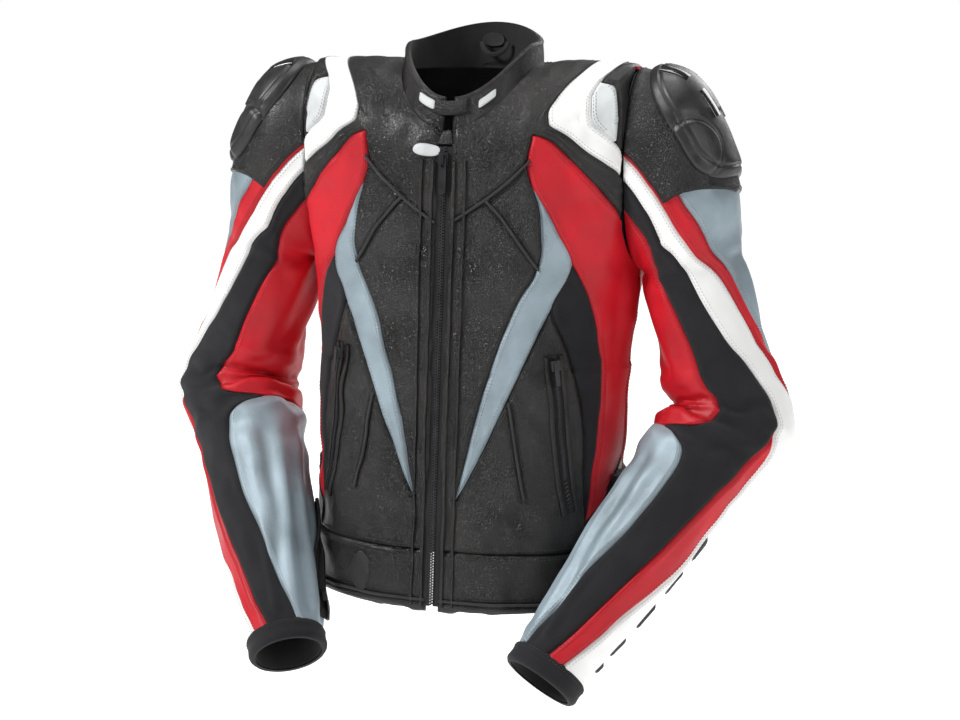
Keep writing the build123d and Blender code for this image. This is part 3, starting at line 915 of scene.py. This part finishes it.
def teeth(start, end, outward, pitch, size):
    """Two interleaved rows of zip teeth between two points."""
    start, end = np.array(start, float), np.array(end, float)
    way = unit(end - start)
    out = unit(np.array(outward, float) - way * (np.array(outward, float) @ way))
    across = np.cross(out, way)
    count = int(np.linalg.norm(end - start) / pitch)
    parts = []
    for k in range(count):
        for row in (-1, 1):
            centre = start + way * pitch * (k + (0.25 if row > 0 else 0.75)) + across * row * size[0] * 0.75
            parts.append(box_part(centre, size, (across, out, way)))
    return merge_parts(parts)


def ribbon(points, normals, half_width, thick):
    """Flat band along points, with rounded edges."""
    points, normals = np.asarray(points, float), np.asarray(normals, float)
    way = np.gradient(points, axis=0)
    side = np.cross(way, normals)
    side /= np.linalg.norm(side, axis=1, keepdims=True)
    across = np.array([-1, -0.92, -0.7, 0, 0.7, 0.92, 1])
    rim = np.array([0.15, 0.75, 1, 1, 1, 0.75, 0.15]) * thick / 2
    middle = points[:, None] + side[:, None] * (across * half_width)[None, :, None]
    outer = middle + normals[:, None] * rim[None, :, None]
    inner = middle - normals[:, None] * rim[None, :, None]
    return closed_shell(outer, inner)


def straight(start, end, count):
    t = np.linspace(0, 1, count)[:, None]
    return np.array(start, float) * (1 - t) + np.array(end, float) * t


ZIP_TOP = np.array([0, -97, -30.0])
ZIP_BOTTOM = np.array([0, -142.1, -528.0])
ZIP_BACK = np.array([0, 0.996, -0.09])      # square to the zip, into the jacket
CUFF_ZIP = ((196, 10.76), (194, 12.74))     # angle and row of its two ends


def main_zip():
    chain = teeth(ZIP_TOP + ZIP_BACK * 1.6, ZIP_BOTTOM + ZIP_BACK * 1.6 + [0, 0, 5], -ZIP_BACK, 3.0,
                  (1.7, 1.1, 0.95))
    place("main_zip_teeth", [chain], "zip_metal", "torso", replaces=("zip_teeth",), both_sides=False)
    line = straight(ZIP_TOP + ZIP_BACK * 2.0 + [7.0, 0, 0], ZIP_BOTTOM + ZIP_BACK * 2.0 + [7.0, 0, 4], 60)
    tape = ribbon(line, np.tile(-ZIP_BACK, (60, 1)), 5.2, 0.9)
    place("main_zip_tape", [tape], "zip_tape", "torso", replaces=("zip_tapes",))
    v = np.linspace(0.06, 7.4, 150)
    for label, turn, width, lift in (("placket_edge", -87.0, 1.9, 1.4), ("placket_fold", -83.6, 1.5, 0.9)):
        point, normal = point_and_normal(body, np.radians(turn) + 0 * v, v)
        place(label, [ribbon(point + normal * lift, normal, width, 2.6)], "leather_black", "torso")


def surface_line(surface, start, end, count):
    """Points and normals on a surface between two (angle, v) places."""
    t = np.linspace(0, 1, count)
    angle = np.radians(start[0] + (end[0] - start[0]) * t)
    return point_and_normal(surface, angle, start[1] + (end[1] - start[1]) * t)


def set_zip(name, surface, start, end, node, where):
    """Short zip let into leather: tape, teeth and a raised welt on each side."""
    point, normal = surface_line(surface, start, end, 70)
    way = np.gradient(point, axis=0)
    side = np.cross(way, normal)
    side /= np.linalg.norm(side, axis=1, keepdims=True)
    tape = ribbon(point + normal * 0.5, normal, 6, 0.8)
    place(f"{name}_tape", [tape], "zip_tape", where)
    parts = []
    for a, b, n in zip(point[:-1:2], point[2::2], normal[:-1:2]):
        parts.append(teeth(a + n * 1.3, b + n * 1.3, n, 2.4, (1.3, 0.8, 0.75)))
    place(f"{name}_teeth", [merge_parts(parts)], "zip_metal", where, replaces=(node,))
    for label, shift in (("inner", -8.2), ("outer", 8.2)):
        welt = ribbon(point + side * shift + normal * 1.0, normal, 2.6, 3.2)
        place(f"{name}_welt_{label}", [welt], "leather_black", where)


# ---------------- shoulder cup
CUP = (-10, 66, 1.58, 1.33)      # middle angle, half angle, middle v, half height in v
DISC = np.array([262, -43, -28.0])          # the round boss is centred here
DISC_R = 31


CUP_FOOT = curve((0, 200), (2.0, 88), (2.8, 42), (3.15, 8))
CUP_BACK = curve((0, -104), (1.6, -100), (2.5, -84), (3.15, -40))


def cup_front(v):
    return np.minimum(RED_EDGE(v) - 2, CUP_FOOT(v))


def cup_grid(rings, spokes, reach):
    """Round grid over the shoulder: how far out, the angle and the row of every point."""
    rho = np.linspace(0, 1, rings)[:, None]
    phi = np.linspace(0, 2 * np.pi, spokes)[None, :]
    c, s = np.cos(phi), np.sin(phi)
    stretch = 1 / (np.abs(c) ** 2.8 + np.abs(s) ** 2.8) ** (1 / 2.8)
    angle = np.radians(CUP[0] + CUP[1] * reach * rho * c * stretch)
    v = CUP[2] + CUP[3] * reach * rho * s * stretch
    return rho + 0 * phi, angle, v


def shoulder_cup():
    border = panel(sleeve, CUP_BACK, cup_front, 0.03, 3.15, "rse", lift=2.4, stitched="rse")
    place("cup_border", border, "leather_black", "shoulder")
    rho, angle, v = cup_grid(64, 150, 0.97)
    point, normal = point_and_normal(sleeve, angle, v)
    dome = 3.6 + 5.4 * np.clip((1 - rho) / 0.16, 0, 1) ** 0.55 + 1.4 * (1 - rho ** 2)
    dome = dome - 1.6 * bell(rho, 0.86, 0.02)
    far = np.linalg.norm(point - DISC, axis=-1)
    dome = dome - 2.4 * bell(far, DISC_R + 1.5, 2.2) + 1.5 * rise(-far, -DISC_R - 1, -DISC_R + 3)
    ridge = rise(-point[..., 1], -34, -30) * rise(point[..., 2], 2, 6)
    dome = dome + 1.7 * ridge * np.clip((1 - rho) / 0.12, 0, 1)
    outer = point + normal * dome[..., None]
    inner = point + normal * 1.2
    shell = closed_shell(outer[1:], inner[1:])
    cap = closed_shell(np.stack([outer[0], outer[1]]), np.stack([inner[0], inner[1]]))
    place("shoulder_armour_cup", [merge_parts([shell, cap])], "armour_black", "upper_sleeve_{side}",
          replaces=("shoulder_cup_{side}",))
    parts = []
    for start, end in (((-12, 0.52), (-14, 1.02)), ((-16, 1.3), (-18, 1.8)), ((14, 0.52), (13, 1.02)),
                       ((11, 1.3), (9, 1.8))):
        line, up = surface_line(sleeve, start, end, 16)
        parts.append(ribbon(line + up * 10.6, up, 7, 3.2))
    place("cup_vents", [merge_parts(parts)], "gloss_black", "upper_sleeve_{side}",
          replaces=("cup_boss_and_vents_{side}",))


# ---------------- small pieces
def patch(name, surface, middle, half, look, where, replaces, lift=3.0, sides=2.6, both_sides=False):
    """Sewn-on patch with rounded corners; middle and half are (angle, v)."""
    rho = np.linspace(0, 1, 12)[:, None]
    phi = np.linspace(0, 2 * np.pi, 60)[None, :]
    c, s = np.cos(phi), np.sin(phi)
    stretch = 1 / (np.abs(c) ** sides + np.abs(s) ** sides) ** (1 / sides)
    angle = np.radians(middle[0] + half[0] * rho * c * stretch)
    v = middle[1] + half[1] * rho * s * stretch
    point, normal = point_and_normal(surface, angle, v)
    rim = np.clip((1 - rho) / 0.12, 0, 1) ** 0.5 * 0.8 + 0 * phi
    outer = point + normal * (lift + rim - 0.7 * bell(rho + 0 * phi, 0.8, 0.03))[..., None]
    inner = point + normal * (lift - 1.6)
    shell = closed_shell(outer[1:], inner[1:])
    cap = closed_shell(outer[:2], inner[:2])
    place(name, [merge_parts([shell, cap])], look, where, replaces=replaces, both_sides=both_sides)


def collar_pieces():
    tab = panel(collar_surface, constant(-118), constant(-74), 0.92, 1.72, "lrse", thick=3, lift=4.6,
                step=2.5)
    place("collar_tab_leather", tab, "leather_black", "collar_tab", replaces=("collar_tab",),
          both_sides=False)
    patch("collar_tag_right", collar_surface, (-108, 1.33), (7.5, 0.27), "leather_grey", "collar_tab", (),
          lift=5.6, sides=6)
    patch("collar_tag_left", collar_surface, (-58, 1.0), (7, 0.24), "leather_grey", "torso", (),
          lift=0.8, sides=6)
    patch("neck_badge", body, (-96, 8.0), (4.8, 0.4), "leather_grey", "torso", ("neck_patch",), lift=1.6)
    patch("zip_garage", body, (-90, 9.25), (3.2, 0.75), "leather_black", "torso", (), lift=-1.2, sides=8)
    patch("waist_badge", body, (-117, 0.5), (6.5, 0.36), "leather_patch", "torso", ("waist_patch",),
          lift=2.2, sides=1.3)
    patch("size_label", collar_surface, (93, 1.25), (11, 0.3), "leather_patch", "torso", (), lift=-6.2,
          sides=2.4)
    t = np.linspace(0, np.pi, 30)
    loop = np.stack([15 * np.cos(t), 66 - 5 * np.sin(t), 74 - 14 * np.sin(t)], -1)
    place("hanging_loop", [ribbon(loop, np.tile([0, -1.0, 0], (30, 1)), 2.6, 1.6)], "webbing", "torso",
          replaces=("hang_loop",), both_sides=False)


def adjusters():
    strap = panel(body, constant(-10), constant(31), 1.86, 2.14, "lrse", thick=2.4, lift=4.6, step=3)
    place("adjuster_strap", strap, "webbing", "waist_adjuster_{side}", replaces=("waist_adjuster_{side}",))
    line, up = surface_line(body, (33, 1.84), (33, 2.16), 14)
    place("adjuster_loop", [ribbon(line + up * 4.4, up, 2.0, 3.0)], "rubber_black",
          "waist_adjuster_{side}")


BAR_COUNT = 5
BAR_START, BAR_PITCH, BAR_ROWS = 10.2, 0.5, 0.34     # in rows of the sleeve


def forearm_bars():
    for index in range(BAR_COUNT):
        v = BAR_START + BAR_PITCH * index
        bar = panel(sleeve, constant(-28), constant(-8), v, v + BAR_ROWS, "lrse", thick=2.4, lift=1.6,
                    stitched="", step=2.5)
        names = ("forearm_slider_bars_{side}",) if index == 0 else ()
        place(f"forearm_bar_{index + 1}", bar[:1], "rubber_black", "forearm_{side}", replaces=names)


def dress_cad_nodes():
    """Materials of the CAD pieces that keep their own shape."""
    for name in ("zip_slider", "zip_puller", "pocket_slider_left", "pocket_slider_right",
                 "cuff_slider_left", "cuff_slider_right"):
        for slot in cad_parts[name].material_slots:
            slot.material = LOOK["zip_metal"]


# ---------------- camera, lights and floor
AZIMUTH = radians(20)
ELEVATION = radians(10)
DISTANCE = 2.6          # metres from the point looked at
CENTRE = np.array([0, -0.02, -0.26])
LENS = 87.75            # millimetres, on a sensor 36 wide
SHIFT = (0.0117, -0.0127)
MIDDLE = (0, 0, -0.26)
FLOOR_Z = -0.72
FLOOR_HALF = 9


def look_at(holder, location, centre):
    holder.location = location
    way = Vector(centre) - Vector(location)
    holder.rotation_euler = way.to_track_quat("-Z", "Y").to_euler()
    bpy.context.scene.collection.objects.link(holder)


def camera():
    level = np.cos(ELEVATION)
    back = np.array([np.sin(AZIMUTH) * level, -np.cos(AZIMUTH) * level, np.sin(ELEVATION)])
    data = bpy.data.cameras.new("camera")
    holder = bpy.data.objects.new("camera", data)
    look_at(holder, CENTRE + back * DISTANCE, CENTRE)
    data.sensor_width = 36
    data.lens = LENS
    data.shift_x, data.shift_y = SHIFT
    bpy.context.scene.camera = holder


LIGHTS = (      # name, place and size in metres, power in watts
    ("key", (-1.9, -1.5, 1.7), 0.8, 92),
    ("fill", (2.5, -1.2, 0.9), 1.2, 24),
    ("top", (0.2, 0.2, 2.3), 1.4, 34),
    ("back", (0.8, 2.5, 1.2), 1.8, 40),
)
AMBIENT = 0.10          # strength of the sky's light on the jacket


def lights():
    for name, location, size, energy in LIGHTS:
        light = bpy.data.lights.new(name, "AREA")
        light.size, light.energy = size, energy
        look_at(bpy.data.objects.new(name, light), location, MIDDLE)
    world = bpy.data.worlds.new("studio")
    world.use_nodes = True
    nodes, links = world.node_tree.nodes, world.node_tree.links
    path = nodes.new("ShaderNodeLightPath")
    strength = nodes.new("ShaderNodeMapRange")
    strength.inputs["To Min"].default_value = AMBIENT
    strength.inputs["To Max"].default_value = 1.0
    links.new(path.outputs["Is Camera Ray"], strength.inputs["Value"])
    nodes["Background"].inputs["Color"].default_value = (1, 1, 1, 1)
    links.new(strength.outputs["Result"], nodes["Background"].inputs["Strength"])
    bpy.context.scene.world = world
    bpy.context.scene.view_settings.view_transform = "Standard"


def floor():
    """Plain pale floor below the hanging jacket."""
    material, nodes, links, shader = base_material("floor_paint", (0.5, 0.5, 0.5), 0.95)
    shader.inputs["Emission Color"].default_value = (1, 1, 1, 1)
    shader.inputs["Emission Strength"].default_value = 0.95
    mesh = bpy.data.meshes.new("studio_floor")
    corners = [(x * FLOOR_HALF, y * FLOOR_HALF, FLOOR_Z) for x, y in ((-1, -1), (1, -1), (1, 1), (-1, 1))]
    mesh.from_pydata(corners, [], [[0, 1, 2, 3]])
    mesh.materials.append(material)
    stage = bpy.data.objects.new("studio_floor", mesh)
    bpy.context.scene.collection.objects.link(stage)


camera()
lights()
floor()
front_leather()
coloured_panels()
back_and_shoulder()
waistband()
sleeves()
shoulder_cup()
collar()
collar_pieces()
linings()
protectors()
main_zip()
set_zip("pocket_zip", body, (-49.5, 3.48), (-37.5, 1.72), "pocket_zips", "torso")
set_zip("cuff_zip", sleeve, CUFF_ZIP[0], CUFF_ZIP[1], "cuff_zip_{side}", "forearm_{side}")
adjusters()
forearm_bars()
dress_cad_nodes()
